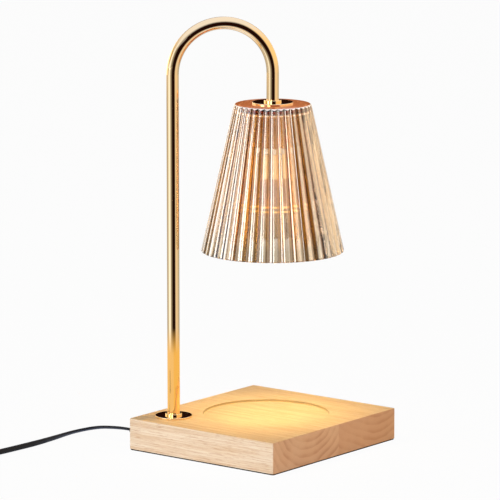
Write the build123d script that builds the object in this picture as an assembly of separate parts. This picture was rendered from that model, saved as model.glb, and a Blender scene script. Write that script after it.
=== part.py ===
"""Candle warmer lamp: a wooden board, a bent brass-coloured tube and a ribbed glass shade with a
twist-lock reflector bulb, whose heat melts a candle that stands in the board's recess.

Millimetres, +Z up. The origin is the centre of the board's outline, on the surface it stands on.
Each piece is one solid, written to its own STEP file.
"""

from build123d import *
from math import asin, cos, pi, radians, sin, sqrt, tan
import os

# ---- Board ----
board_length = 146.0
board_width = 162.0
board_thickness = 25.0
board_corner_round = 1.2
board_edge_round = 0.7
pad_thickness = 1.0
pad_inset = 0.4

recess_x = 1.5
recess_y = 2.4
recess_radius = 51.0
recess_depth = 2.0
recess_floor_round = 1.0

# ---- Arm: a straight pole, a half-round arch and a short leg down to the shade ----
tube_diameter = 10.0
tube_wall = 1.0
pole_from_side = 24.0  # pole's centre to the board's -X side
pole_from_front = 27.0  # and to its -Y side
pole_straight = 277.2  # board's top to the start of the arch
arch_radius = 40.4  # to the tube's centre line
arch_heading = 48.5  # degrees from +X
short_leg = 25.2  # end of the arch to the glass top

# ---- Foot of the pole ----
flange_diameter = 30.0
flange_thickness = 1.4
flange_round = 0.5
boss_diameter = 13.4  # the raised ring round the tube
boss_height = 1.6
boss_round = 0.6
foot_pocket_diameter = 26.0
foot_clamped_wood = 6.0  # wood left above the pocket
foot_washer_diameter = 22.0
foot_washer_thickness = 1.5
foot_nut_flats = 16.0
foot_nut_thickness = 4.5
pole_below_nut = 1.0

# ---- Strain relief and inner lead ----
relief_height = 9.0  # cord's centre above the table
relief_stub_diameter = 7.0
relief_stub_length = 8.0
relief_collar_diameter = 9.6
relief_collar_thickness = 1.6
relief_sleeve = 18.4
relief_root_diameter = 8.2
relief_tip_diameter = 6.0
relief_groove_count = 4
relief_groove_width = 1.5
relief_groove_depth = 0.6
lead_diameter = 3.6
lead_bend = 9.0

# ---- Glass shade ----
shade_height = 119.0
shade_top_radius = 30.8  # over the ribs
shade_bottom_radius = 57.7
shade_wall = 4.0  # at the valleys between the ribs
shade_top_thickness = 5.0
shade_inner_round = 3.0
shade_shoulder_round = 1.4
shade_lip_round = 0.9
shade_trim_clearance = 0.05  # the trimming cone stands this far off the ribs
rib_count = 36
rib_depth_top = 1.1
rib_depth_bottom = 1.9
shade_hole_clearance = 0.6

# ---- Hardware on the shade ----
disc_diameter = 33.0
disc_thickness = 1.5
disc_round = 0.4
collar_diameter = 14.0
collar_thickness = 1.7
collar_round = 0.5
gasket_diameter = 30.0
gasket_thickness = 1.0

# ---- Lamp holder ----
cup_diameter = 34.0
cup_wall = 1.2
cup_height = 28.0
cup_round = 2.0
holder_nut_flats = 14.0
holder_nut_thickness = 4.0
tube_below_nut = 1.2
socket_height = 25.0
socket_drop = 5.0  # socket below the cup's rim
socket_edge_round = 1.0
socket_face = 2.8  # thickness of the slotted face
key_cavity_height = 4.2
key_entry_clearance = 0.3  # radial, round a pin's head
key_slot_clearance = 0.25  # radial, round a pin's neck
screw_diameter = 3.0
screw_head_diameter = 5.6
screw_head_height = 2.0
screw_offset = 10.4  # from the holder's axis

# ---- Bulb ----
bulb_diameter = 50.0
bulb_length = 47.5  # front rim to the top of the base
bulb_rim_height = 2.5
bulb_base_height = 20.0
bulb_base_diameter = 26.0
bulb_base_top_diameter = 22.0
bulb_base_round = 1.5
reflector_wall = 1.2
lens_thickness = 2.0
lens_setback = 0.6
capsule_diameter = 9.0
capsule_length = 20.0
pin_spacing = 10.0
pin_neck_diameter = 3.0
pin_head_diameter = 5.0
pin_head_height = 2.4
pin_seat_gap = 0.15
bulb_seat_gap = 0.3
bulb_twist = 20.0  # degrees from home to release

# ---- In-line dimmer ----
dimmer_x = -158.0
dimmer_y = -268.0
dimmer_length = 60.0
dimmer_width = 27.0
dimmer_height = 19.5
dimmer_split = 9.5
dimmer_wall = 1.8
dimmer_corner_round = 8.0
dimmer_edge_round = 2.4
dimmer_cord_height = 7.6
dimmer_relief_length = 9.0
dimmer_relief_root = 7.2
dimmer_relief_tip = 5.4
dimmer_screw_diameter = 2.5
dimmer_screw_length = 12.0
dimmer_screw_head_diameter = 4.6
dimmer_screw_head_height = 1.6
dimmer_boss_diameter = 6.2
dimmer_screw_spacing = 41.0
wheel_diameter = 21.0
wheel_thickness = 5.0
wheel_height = 13.0  # axis above the table
wheel_flutes = 24
wheel_flute_radius = 0.7
wheel_clearance = 0.5
wheel_shaft_diameter = 4.0
wheel_shaft_length = 6.0
shaft_running_clearance = 0.05
control_width = 6.5
control_length = 12.0
control_height = 14.8

# ---- Cord, coil and plug ----
cord_diameter = 4.6
floor_gap = 0.05
coil_x = -104.0
coil_y = -302.0
coil_lift = 0.6
coil_lanes = 4
coil_layers = 2
coil_middle_radius = 26.5
coil_round = 2.0
tie_thickness = 0.5
tie_width = 6.0
tie_angle = 75.0
tie_gap = 0.05
plug_x = -57.0  # where the cord enters the plug
plug_y = -328.0
plug_relief_length = 12.0
plug_relief_root = 8.4
plug_relief_tip = 5.6
plug_length = 26.0
plug_width = 24.0
plug_height = 14.0
plug_round = 2.6
blade_spacing = 12.7
blade_length = 17.0
blade_height = 6.35
blade_thickness = 1.55
blade_seat = 4.0
blade_hole_diameter = 3.1
blade_hole_setback = 5.0
blade_fit = 0.02

# ---- Fits ----
slip_fit = 0.1  # radial, a sleeve or washer on what it fits
thread_seat = 0.0  # a threaded piece drawn at its nominal diameter

# ---- Worked out from the sizes above ----
board_top = pad_thickness + board_thickness
board_side = -board_length / 2
pole_x = board_side + pole_from_side
pole_y = -board_width / 2 + pole_from_front
arch_start = board_top + pole_straight
tube_radius = tube_diameter / 2
shade_x = pole_x + 2 * arch_radius * cos(radians(arch_heading))
shade_y = pole_y + 2 * arch_radius * sin(radians(arch_heading))
glass_top = arch_start - short_leg
glass_mouth = glass_top - shade_height
pocket_ceiling = board_top - foot_clamped_wood
foot_nut_top = pocket_ceiling - foot_washer_thickness
pole_bottom = foot_nut_top - foot_nut_thickness - pole_below_nut
cup_top = glass_top - shade_top_thickness - gasket_thickness
cup_ceiling = cup_top - cup_wall
holder_nut_bottom = cup_ceiling - holder_nut_thickness
tube_end = holder_nut_bottom - tube_below_nut
socket_bottom = cup_top - cup_height - socket_drop
socket_top = socket_bottom + socket_height
socket_diameter = cup_diameter - 2 * cup_wall - 2 * slip_fit
bulb_top = socket_bottom - bulb_seat_gap
bulb_front = bulb_top - bulb_length
bulb_base_bottom = bulb_top - bulb_base_height
relief_outer_end = board_side - relief_collar_thickness - relief_sleeve
cord_lie = cord_diameter / 2 + floor_gap
coil_half_span = coil_lanes * cord_diameter / 2
coil_height = coil_layers * cord_diameter
coil_low_layer = coil_lift + cord_diameter / 2
coil_top_layer = coil_lift + (coil_layers - 0.5) * cord_diameter
plug_axis = plug_height / 2 + floor_gap
dimmer_inlet = dimmer_y + dimmer_length / 2 + dimmer_relief_length
dimmer_outlet = dimmer_y - dimmer_length / 2 - dimmer_relief_length

# ---- Cord routes, chosen by hand; the first and last points are the pieces' faces ----
lead_route = [
    (relief_outer_end, pole_y, relief_height),
    (-101.5, pole_y, relief_height),
    (-113.5, -53.8, 8.0),
    (-125.0, -54.0, 6.7),
    (-132.7, -57.2, 5.3),
    (-138.6, -63.1, 3.9),
    (-141.8, -70.8, 3.0),
    (-142.0, -82.0, 2.6),
    (-141.2, -98.0, 2.4),
    (-140.9, -117.0, cord_lie),
    (-142.2, -139.0, cord_lie),
    (-143.4, -161.0, cord_lie),
    (-146.6, -181.0, 2.6),
    (-153.2, -198.0, 4.6),
    (dimmer_x, dimmer_inlet + 13.0, dimmer_cord_height),
    (dimmer_x, dimmer_inlet, dimmer_cord_height),
]
coil_entry_y = coil_y - coil_middle_radius - coil_half_span + cord_diameter / 2
link_route = [
    (dimmer_x, dimmer_outlet, dimmer_cord_height),
    (dimmer_x, dimmer_outlet - 9.0, dimmer_cord_height),
    (-154.3, -324.8, 6.4),
    (-147.6, -331.6, 5.0),
    (-138.8, -335.6, 3.8),
    (-128.5, -336.4, coil_low_layer),
    (-118.0, -336.1, coil_low_layer),
    (-108.0, coil_entry_y, coil_low_layer),
]
tail_route = [
    (-103.0, coil_entry_y, coil_top_layer),
    (-91.5, -335.2, coil_top_layer + 0.1),
    (-79.5, -331.4, plug_axis + 0.3),
    (plug_x - 11.0, plug_y, plug_axis),
    (plug_x, plug_y, plug_axis),
]


def ring(outer_radius, inner_radius, height, base=0.0):
    """A flat ring whose underside is at the height `base`."""
    disc = Pos(0, 0, base + height / 2) * Cylinder(outer_radius, height)
    return disc - Pos(0, 0, base + height / 2) * Cylinder(inner_radius, height + 2)


def turned(points):
    """A solid of revolution about Z from the (radius, height) corners of its half section."""
    section = make_face(Plane.XZ * Polyline(*points, close=True))
    return revolve(section, Axis.Z, 360)


def hexagon_nut(flats, height, hole_radius, base):
    """A nut with its corners turned off on both faces; its underside is at the height `base`."""
    corner_radius = flats / 2 / cos(radians(30))
    corner_drop = (corner_radius - flats / 2) * tan(radians(30))
    body = Pos(0, 0, base) * extrude(RegularPolygon(corner_radius, 6), height)
    chamfered = turned(
        [
            (0, base),
            (flats / 2, base),
            (corner_radius, base + corner_drop),
            (corner_radius, base + height - corner_drop),
            (flats / 2, base + height),
            (0, base + height),
        ]
    )
    return (body & chamfered) - Pos(0, 0, base + height / 2) * Cylinder(hole_radius, height + 2)


def rounded_top(solid, radius):
    """The solid with the outer edge of its highest face rounded."""
    top = solid.faces().sort_by(Axis.Z)[-1]
    return fillet(top.outer_wire().edges(), radius)


def at_pole(solid):
    return Pos(pole_x, pole_y, 0) * solid


def at_shade(solid):
    return Pos(shade_x, shade_y, 0) * solid


# ---------------------------------------------------------------- board and foot
def base_board():
    board = Pos(0, 0, pad_thickness + board_thickness / 2) * Box(
        board_length, board_width, board_thickness
    )
    board = fillet(board.edges().filter_by(Axis.Z), board_corner_round)
    board = rounded_top(board, board_edge_round)
    recess = Pos(recess_x, recess_y, board_top) * Cylinder(recess_radius, 2 * recess_depth)
    recess = fillet(recess.edges().sort_by(Axis.Z)[0], recess_floor_round)
    pocket = at_pole(Pos(0, 0, pocket_ceiling / 2) * Cylinder(foot_pocket_diameter / 2, pocket_ceiling))
    pole_hole = at_pole(Pos(0, 0, board_top / 2) * Cylinder(tube_radius + slip_fit, 2 * board_top))
    relief_reach = pole_x - board_side
    relief_hole = (
        Pos(board_side + relief_reach / 2, pole_y, relief_height)
        * Rot(0, 90, 0)
        * Cylinder(relief_stub_diameter / 2 + slip_fit, relief_reach + 2 * slip_fit)
    )
    return board - recess - pocket - pole_hole - relief_hole


def base_pad():
    pad = Pos(0, 0, pad_thickness / 2) * Box(
        board_length - 2 * pad_inset, board_width - 2 * pad_inset, pad_thickness
    )
    return fillet(pad.edges().filter_by(Axis.Z), board_corner_round)


def foot_flange():
    bore_radius = tube_radius + slip_fit
    disc = ring(flange_diameter / 2, bore_radius, flange_thickness, board_top)
    boss = ring(boss_diameter / 2, bore_radius, flange_thickness + boss_height, board_top)
    return at_pole(rounded_top(disc, flange_round) + rounded_top(boss, boss_round))


def foot_washer():
    base = pocket_ceiling - foot_washer_thickness
    return at_pole(ring(foot_washer_diameter / 2, tube_radius + slip_fit, foot_washer_thickness, base))


def foot_nut():
    base = foot_nut_top - foot_nut_thickness
    return at_pole(hexagon_nut(foot_nut_flats, foot_nut_thickness, tube_radius + thread_seat, base))


# ---------------------------------------------------------------- arm
def arm_path(low_start, low_end):
    """Up the pole, over the arch and down the short leg, as a wire along the tube's centre line."""
    heading = Vector(cos(radians(arch_heading)), sin(radians(arch_heading)), 0)
    foot = Vector(pole_x, pole_y, 0)
    far = foot + heading * 2 * arch_radius
    crown = foot + heading * arch_radius + Vector(0, 0, arch_start + arch_radius)
    spring = Vector(0, 0, arch_start)
    return [
        Line(foot + Vector(0, 0, low_start), foot + spring),
        ThreePointArc(foot + spring, crown, far + spring),
        Line(far + spring, far + Vector(0, 0, low_end)),
    ]


def arm_tube():
    path = Wire(arm_path(pole_bottom, tube_end))
    section = Circle(tube_radius) - Circle(tube_radius - tube_wall)
    return sweep(Pos(pole_x, pole_y, pole_bottom) * section, path=path)


def inner_lead():
    """The lead from the strain relief, through the board and the tube, to the socket."""
    start = board_side + relief_stub_length
    turn_top = relief_height + lead_bend
    middle = lead_bend * (1 - cos(radians(45)))
    entry = [
        Line((start, pole_y, relief_height), (pole_x - lead_bend, pole_y, relief_height)),
        ThreePointArc(
            (pole_x - lead_bend, pole_y, relief_height),
            (pole_x - middle, pole_y, relief_height + middle),
            (pole_x, pole_y, turn_top),
        ),
    ]
    path = Wire(entry + arm_path(turn_top, socket_top))
    section = Plane((start, pole_y, relief_height), z_dir=(1, 0, 0)) * Circle(lead_diameter / 2)
    return sweep(section, path=path)


def strain_relief():
    """A stub in the board, a collar on its side and a tapered, grooved sleeve on the cord."""
    collar_face = relief_stub_length + relief_collar_thickness
    corners = [
        (0, 0),
        (relief_stub_diameter / 2, 0),
        (relief_stub_diameter / 2, relief_stub_length),
        (relief_collar_diameter / 2, relief_stub_length),
        (relief_collar_diameter / 2, collar_face),
        (relief_root_diameter / 2, collar_face),
    ]
    taper = (relief_root_diameter - relief_tip_diameter) / 2 / relief_sleeve
    pitch = relief_sleeve / (relief_groove_count + 1)
    for groove in range(relief_groove_count):
        for side in (-0.5, 0.5):
            along = (groove + 1) * pitch + side * relief_groove_width
            radius = relief_root_diameter / 2 - taper * along
            edge = (radius, collar_face + along)
            floor = (radius - relief_groove_depth, collar_face + along)
            corners += [edge, floor] if side < 0 else [floor, edge]
    corners += [
        (relief_tip_diameter / 2, collar_face + relief_sleeve),
        (0, collar_face + relief_sleeve),
    ]
    inner_end = board_side + relief_stub_length
    return Pos(inner_end, pole_y, relief_height) * Rot(0, -90, 0) * turned(corners)


# ---------------------------------------------------------------- shade
def ribbed_outline(crest_radius, rib_depth, height):
    """A closed outline of outward arcs, one for each rib, meeting at sharp valleys."""
    valley_radius = crest_radius - rib_depth
    pitch = 360 / rib_count

    def at(radius, angle):
        return (radius * cos(radians(angle)), radius * sin(radians(angle)), height)

    arcs = [
        ThreePointArc(
            at(valley_radius, (rib - 0.5) * pitch),
            at(crest_radius, rib * pitch),
            at(valley_radius, (rib + 0.5) * pitch),
        )
        for rib in range(rib_count)
    ]
    return make_face(arcs)


def glass_shade():
    """Ribs outside, a smooth cone inside, a thick flat top with a hole and an open mouth."""
    top_outline = ribbed_outline(shade_top_radius, rib_depth_top, glass_top)
    mouth_outline = ribbed_outline(shade_bottom_radius, rib_depth_bottom, glass_mouth)
    ribbed = loft([mouth_outline, top_outline], ruled=True)

    trim = Pos(0, 0, glass_mouth + shade_height / 2) * Cone(
        shade_bottom_radius + shade_trim_clearance, shade_top_radius + shade_trim_clearance, shade_height
    )
    trim = fillet(trim.edges().sort_by(Axis.Z)[-1], shade_shoulder_round)
    trim = fillet(trim.edges().sort_by(Axis.Z)[0], shade_lip_round)

    inner_mouth = shade_bottom_radius - rib_depth_bottom - shade_wall
    inner_top = shade_top_radius - rib_depth_top - shade_wall
    slope = (inner_mouth - inner_top) / shade_height
    overrun = 1.0
    hollow_height = shade_height - shade_top_thickness + overrun
    hollow = Pos(0, 0, glass_mouth - overrun + hollow_height / 2) * Cone(
        inner_mouth + slope * overrun, inner_top + slope * shade_top_thickness, hollow_height
    )
    hollow = fillet(hollow.edges().sort_by(Axis.Z)[-1], shade_inner_round)
    hole = Pos(0, 0, glass_top) * Cylinder(tube_radius + shade_hole_clearance, 4 * shade_top_thickness)
    return at_shade((ribbed & trim) - hollow - hole)


def shade_disc():
    disc = ring(disc_diameter / 2, tube_radius + slip_fit, disc_thickness, glass_top)
    return at_shade(rounded_top(disc, disc_round))


def shade_collar():
    collar = ring(collar_diameter / 2, tube_radius + thread_seat, collar_thickness, glass_top + disc_thickness)
    return at_shade(rounded_top(collar, collar_round))


def shade_gasket():
    return at_shade(ring(gasket_diameter / 2, tube_radius + slip_fit, gasket_thickness, cup_top))


# ---------------------------------------------------------------- lamp holder
def screw_places():
    return [Pos(0, side * screw_offset, 0) for side in (-1, 1)]


def holder_cup():
    shell = Pos(0, 0, cup_top - cup_height / 2) * Cylinder(cup_diameter / 2, cup_height)
    shell = rounded_top(shell, cup_round)
    hollow = Pos(0, 0, cup_ceiling - cup_height / 2) * Cylinder(cup_diameter / 2 - cup_wall, cup_height)
    cup = shell - hollow - Pos(0, 0, cup_top) * Cylinder(tube_radius + slip_fit, 4 * cup_wall)
    for place in screw_places():
        cup -= place * Pos(0, 0, cup_top) * Cylinder(screw_diameter / 2 + thread_seat, 4 * cup_wall)
    return at_shade(cup)


def holder_nut():
    return at_shade(
        hexagon_nut(holder_nut_flats, holder_nut_thickness, tube_radius + thread_seat, holder_nut_bottom)
    )


def key_slot(half_width, bottom, height, first_angle, last_angle):
    """A slot with round ends along the circle that the pins move on."""
    arc = CenterArc((0, 0), pin_spacing / 2, first_angle, last_angle - first_angle)
    return Pos(0, 0, bottom) * extrude(SlotArc(arc, 2 * half_width), height)


def lamp_socket():
    body = Pos(0, 0, socket_bottom + socket_height / 2) * Cylinder(socket_diameter / 2, socket_height)
    body = fillet(body.edges().sort_by(Axis.Z)[0], socket_edge_round)
    neck = pin_neck_diameter / 2 + key_slot_clearance
    head = pin_head_diameter / 2 + key_entry_clearance
    entry = Pos(pin_spacing / 2 * cos(radians(-bulb_twist)), pin_spacing / 2 * sin(radians(-bulb_twist)), socket_bottom)
    for half_turn in (0, 180):
        keyhole = key_slot(neck, socket_bottom - 1, socket_face + 2, -bulb_twist, 0)
        keyhole += key_slot(head, socket_bottom + socket_face, key_cavity_height, -bulb_twist, 0)
        keyhole += entry * Cylinder(head, 2 * socket_face + 1)
        body -= Rot(0, 0, half_turn) * keyhole
    for place in screw_places():
        shank = Cylinder(screw_diameter / 2 + slip_fit, socket_height + 2)
        body -= place * Pos(0, 0, socket_bottom + socket_height / 2) * shank
        head_pocket = Cylinder(screw_head_diameter / 2 + slip_fit, 2 * screw_head_height)
        body -= place * Pos(0, 0, socket_bottom) * head_pocket
    return at_shade(body)


def socket_screw(place):
    head = Pos(0, 0, socket_bottom + screw_head_height / 2) * Cylinder(
        screw_head_diameter / 2, screw_head_height
    )
    length = cup_top - socket_bottom
    shank = Pos(0, 0, socket_bottom + length / 2) * Cylinder(screw_diameter / 2, length)
    slot = Pos(0, 0, socket_bottom) * Box(screw_head_diameter, 0.8, screw_head_height)
    return at_shade(place * (head + shank - slot))


# ---------------------------------------------------------------- bulb
def bulb_base():
    body = Pos(0, 0, bulb_base_bottom + bulb_base_height / 2) * Cone(
        bulb_base_diameter / 2, bulb_base_top_diameter / 2, bulb_base_height
    )
    body = fillet(body.edges().sort_by(Axis.Z)[-1], bulb_base_round)
    return at_shade(body)


def bulb_pin(side):
    """A stepped pin: the head rests behind the socket's face, the neck runs in its slot."""
    head_bottom = socket_bottom + socket_face + pin_seat_gap
    neck_length = head_bottom - bulb_top
    neck = Pos(0, 0, bulb_top + neck_length / 2) * Cylinder(pin_neck_diameter / 2, neck_length)
    head = Pos(0, 0, head_bottom + pin_head_height / 2) * Cylinder(pin_head_diameter / 2, pin_head_height)
    head = fillet(head.edges().sort_by(Axis.Z)[-1], 0.4)
    return at_shade(Pos(side * pin_spacing / 2, 0, 0) * (neck + head))


def bulb_reflector():
    """A bell with a straight rim, the same wall all over, open at the front and at the neck."""
    rim, neck = bulb_diameter / 2, bulb_base_diameter / 2
    rim_top = bulb_front + bulb_rim_height
    rise = bulb_base_bottom - rim_top
    bell_radius = (rise**2 + (rim - neck) ** 2) / (2 * (rim - neck))
    centre = rim - bell_radius

    def bell(offset):
        radius = bell_radius - offset
        sweep_angle = asin(rise / radius)
        half = sweep_angle / 2
        middle = (centre + radius * cos(half), rim_top + radius * sin(half))
        top = (centre + radius * cos(sweep_angle), bulb_base_bottom)
        outline = [
            Line((0, bulb_front), (rim - offset, bulb_front)),
            Line((rim - offset, bulb_front), (rim - offset, rim_top)),
            ThreePointArc((rim - offset, rim_top), middle, top),
            Line(top, (0, bulb_base_bottom)),
            Line((0, bulb_base_bottom), (0, bulb_front)),
        ]
        return revolve(make_face([Plane.XZ * edge for edge in outline]), Axis.Z, 360)

    return at_shade(bell(0) - bell(reflector_wall))


def bulb_lens():
    radius = bulb_diameter / 2 - reflector_wall
    lens = Pos(0, 0, bulb_front + lens_setback + lens_thickness / 2) * Cylinder(radius, lens_thickness)
    return at_shade(fillet(lens.edges().sort_by(Axis.Z)[0], 0.6))


def bulb_capsule():
    radius = capsule_diameter / 2
    body = Pos(0, 0, bulb_base_bottom - capsule_length / 2) * Cylinder(radius, capsule_length)
    return at_shade(fillet(body.edges().sort_by(Axis.Z)[0], radius * 0.85))


# ---------------------------------------------------------------- in-line dimmer
def at_dimmer(solid):
    return Pos(dimmer_x, dimmer_y, 0) * solid


def dimmer_block(shrink, bottom, top, edge_round):
    """A block with rounded corners; its long side lies along Y."""
    block = Pos(0, 0, (bottom + top) / 2) * Box(
        dimmer_width - 2 * shrink, dimmer_length - 2 * shrink, top - bottom
    )
    block = fillet(block.edges().filter_by(Axis.Z), dimmer_corner_round - shrink)
    ends = block.faces().sort_by(Axis.Z)
    return fillet(ends[-1].edges() + ends[0].edges(), edge_round)


def dimmer_cuts():
    """What both shells leave out: the wheel's slot, and the two cord holes."""
    inner_top = dimmer_height - dimmer_wall
    half_slot = sqrt((wheel_diameter / 2) ** 2 - (inner_top - wheel_height) ** 2) + 2 * wheel_clearance
    slot = Pos(0, 0, dimmer_height) * Box(
        wheel_thickness + 2 * wheel_clearance, 2 * half_slot, 2 * dimmer_wall + 0.2
    )
    cord_hole = (
        Pos(0, 0, dimmer_cord_height)
        * Rot(90, 0, 0)
        * Cylinder(cord_diameter / 2 + slip_fit, dimmer_length + 2)
    )
    return slot + cord_hole


def dimmer_screw_places():
    return [Pos(0, side * dimmer_screw_spacing / 2, 0) for side in (-1, 1)]


def dimmer_shell(bottom, top):
    """One half of the housing, between two heights, with its screw bosses."""
    half = Pos(0, 0, (bottom + top) / 2) * Box(dimmer_width, dimmer_length, top - bottom)
    outer = dimmer_block(0, floor_gap, dimmer_height, dimmer_edge_round) & half
    inner_edge = max(dimmer_edge_round - dimmer_wall, 0.4)
    hollow = dimmer_block(dimmer_wall, floor_gap + dimmer_wall, dimmer_height - dimmer_wall, inner_edge)
    shell = outer - hollow
    for place in dimmer_screw_places():
        shell += (place * Pos(0, 0, (bottom + top) / 2) * Cylinder(dimmer_boss_diameter / 2, top - bottom)) & outer
        shell -= place * dimmer_screw_solid(slip_fit)
    return shell


def dimmer_screw_solid(margin):
    head_height = dimmer_screw_head_height + margin
    head = Pos(0, 0, floor_gap + head_height / 2) * Cylinder(
        dimmer_screw_head_diameter / 2 + margin, head_height
    )
    shank_length = dimmer_screw_length + margin
    shank = Pos(0, 0, floor_gap + shank_length / 2) * Cylinder(
        dimmer_screw_diameter / 2 + margin, shank_length
    )
    return head + shank


def dimmer_lower_shell():
    return at_dimmer(dimmer_shell(floor_gap, dimmer_split) - dimmer_cuts())


def dimmer_upper_shell():
    return at_dimmer(dimmer_shell(dimmer_split, dimmer_height) - dimmer_cuts())


def dimmer_screw(place):
    slot = Pos(0, 0, floor_gap) * Box(dimmer_screw_head_diameter, 0.7, 1.4)
    return at_dimmer(place * (dimmer_screw_solid(0) - slot))


def dimmer_relief(side):
    """A short tapered sleeve on the cord at one end of the housing."""
    sleeve = Cone(dimmer_relief_root / 2, dimmer_relief_tip / 2, dimmer_relief_length)
    end = side * (dimmer_length + dimmer_relief_length) / 2
    return at_dimmer(Pos(0, end, dimmer_cord_height) * Rot(-side * 90, 0, 0) * sleeve)


def dimmer_wheel():
    """A fluted wheel that stands out of the housing's top, with a stub shaft into the control."""
    wheel = Cylinder(wheel_diameter / 2, wheel_thickness)
    for flute in range(wheel_flutes):
        turn = Rot(0, 0, flute * 360 / wheel_flutes)
        wheel -= turn * Pos(wheel_diameter / 2, 0, 0) * Cylinder(wheel_flute_radius, wheel_thickness + 1)
    shaft_reach = wheel_thickness / 2 + wheel_shaft_length
    wheel += Pos(0, 0, shaft_reach / 2) * Cylinder(wheel_shaft_diameter / 2, shaft_reach)
    return at_dimmer(Pos(0, 0, wheel_height) * Rot(0, 90, 0) * wheel)


def dimmer_control():
    """The control block beside the wheel, which carries the wheel's shaft."""
    near_face = wheel_thickness / 2 + wheel_clearance
    floor = floor_gap + dimmer_wall
    block = Pos(near_face + control_width / 2, 0, floor + control_height / 2) * Box(
        control_width, control_length, control_height
    )
    bore = (
        Pos(near_face + control_width / 2, 0, wheel_height)
        * Rot(0, 90, 0)
        * Cylinder(wheel_shaft_diameter / 2 + shaft_running_clearance, control_width + 2)
    )
    return at_dimmer(block - bore)


# ---------------------------------------------------------------- cord, coil and plug
def corner_radii(route):
    """The largest arc at each inner point: 0.45 of the shorter run over the tangent of half the turn."""
    radii = []
    for before, corner, after in zip(route, route[1:], route[2:]):
        run_in = Vector(*corner) - Vector(*before)
        run_out = Vector(*after) - Vector(*corner)
        half_turn = radians(run_in.get_angle(run_out)) / 2
        radii.append(0.45 * min(run_in.length, run_out.length) / tan(half_turn))
    return radii


def cord_tube(name, route):
    radii = corner_radii(route)
    path = FilletPolyline(*route, radius=radii)
    start = Plane(origin=path @ 0, z_dir=path % 0)
    tube = sweep(start * Circle(cord_diameter / 2), path=path)
    section_times_length = cord_diameter**2 * pi / 4 * path.length
    print(f"{name}: {path.length:.1f} mm, volume over section x length {tube.volume / section_times_length:.4f}")
    print("   radii " + " ".join(f"{radius:.0f}" for radius in radii))
    return tube


def cord_coil():
    """The outer shape of the wound turns, lying flat."""
    outer = coil_middle_radius + coil_half_span
    inner = coil_middle_radius - coil_half_span
    coil = ring(outer, inner, coil_height, coil_lift)
    coil = fillet(coil.edges().filter_by(GeomType.CIRCLE), coil_round)
    return Pos(coil_x, coil_y, 0) * coil


def cord_tie():
    """A flat strap round the bundle of turns."""
    inner_radius = coil_middle_radius - coil_half_span
    bow = inner_radius - sqrt(inner_radius**2 - (tie_width / 2) ** 2)
    span = 2 * coil_half_span + bow + 2 * tie_gap
    height = coil_height + 2 * tie_gap
    outside = Box(span + 2 * tie_thickness, tie_width, height + 2 * tie_thickness)
    strap = outside - Box(span, 2 * tie_width, height)
    middle = coil_middle_radius - bow / 2
    return Pos(coil_x, coil_y, 0) * Rot(0, 0, tie_angle) * Pos(middle, 0, coil_lift + coil_height / 2) * strap


def plug_body():
    relief = Pos(plug_relief_length / 2, 0, 0) * Rot(0, 90, 0) * Cone(
        plug_relief_tip / 2, plug_relief_root / 2, plug_relief_length
    )
    body = Pos(plug_relief_length + plug_length / 2, 0, 0) * Box(plug_length, plug_width, plug_height)
    body = fillet(body.edges().filter_by(Axis.X), plug_round)
    body = fillet(body.faces().sort_by(Axis.X)[0].edges(), plug_round * 0.8)
    for side in (-1, 1):
        seat = Pos(plug_relief_length + plug_length, side * blade_spacing / 2, 0) * Box(
            2 * blade_seat, blade_thickness + 2 * blade_fit, blade_height + 2 * blade_fit
        )
        body -= seat
    return at_plug(relief + body)


def at_plug(solid):
    return Pos(plug_x, plug_y, plug_axis) * solid


def plug_blade(side):
    reach = blade_seat + blade_length
    start = plug_relief_length + plug_length - blade_seat
    blade = Pos(start + reach / 2, 0, 0) * Box(reach, blade_thickness, blade_height)
    blade = fillet(blade.faces().sort_by(Axis.X)[-1].edges().filter_by(Axis.Y), 1.4)
    hole = Pos(start + reach - blade_hole_setback, 0, 0) * Rot(90, 0, 0) * Cylinder(
        blade_hole_diameter / 2, 2 * blade_thickness
    )
    return at_plug(Pos(0, side * blade_spacing / 2, 0) * (blade - hole))


pieces = {
    "base_board": base_board(),
    "base_pad": base_pad(),
    "foot_flange": foot_flange(),
    "foot_washer": foot_washer(),
    "foot_nut": foot_nut(),
    "arm_tube": arm_tube(),
    "inner_lead": inner_lead(),
    "strain_relief": strain_relief(),
    "glass_shade": glass_shade(),
    "shade_disc": shade_disc(),
    "shade_collar": shade_collar(),
    "shade_gasket": shade_gasket(),
    "holder_cup": holder_cup(),
    "holder_nut": holder_nut(),
    "lamp_socket": lamp_socket(),
    "bulb_base": bulb_base(),
    "bulb_reflector": bulb_reflector(),
    "bulb_lens": bulb_lens(),
    "bulb_capsule": bulb_capsule(),
    "dimmer_lower_shell": dimmer_lower_shell(),
    "dimmer_upper_shell": dimmer_upper_shell(),
    "dimmer_wheel": dimmer_wheel(),
    "dimmer_control": dimmer_control(),
    "dimmer_inlet_relief": dimmer_relief(1),
    "dimmer_outlet_relief": dimmer_relief(-1),
    "cord_lead": cord_tube("cord_lead", lead_route),
    "cord_link": cord_tube("cord_link", link_route),
    "cord_coil": cord_coil(),
    "cord_tie": cord_tie(),
    "cord_tail": cord_tube("cord_tail", tail_route),
    "plug_body": plug_body(),
}
for number, place in enumerate(screw_places(), 1):
    pieces[f"socket_screw_{number}"] = socket_screw(place)
for number, place in enumerate(dimmer_screw_places(), 1):
    pieces[f"dimmer_screw_{number}"] = dimmer_screw(place)
for number, side in enumerate((-1, 1), 1):
    pieces[f"bulb_pin_{number}"] = bulb_pin(side)
    pieces[f"plug_blade_{number}"] = plug_blade(side)

os.makedirs("parts", exist_ok=True)
for node, piece in pieces.items():
    export_step(piece, f"parts/{node}.step")
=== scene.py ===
"""Candle warmer lamp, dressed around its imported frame: finishes, ribbed glass, lit bulb and twin-core cord.

Metres, +Z up, in the frame's own axes. Sizes that belong to a piece stand beside the piece.
"""

from math import atan2, cos, degrees, hypot, pi, radians, sin

import bmesh
import bpy
from mathutils import Matrix, Vector


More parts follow.
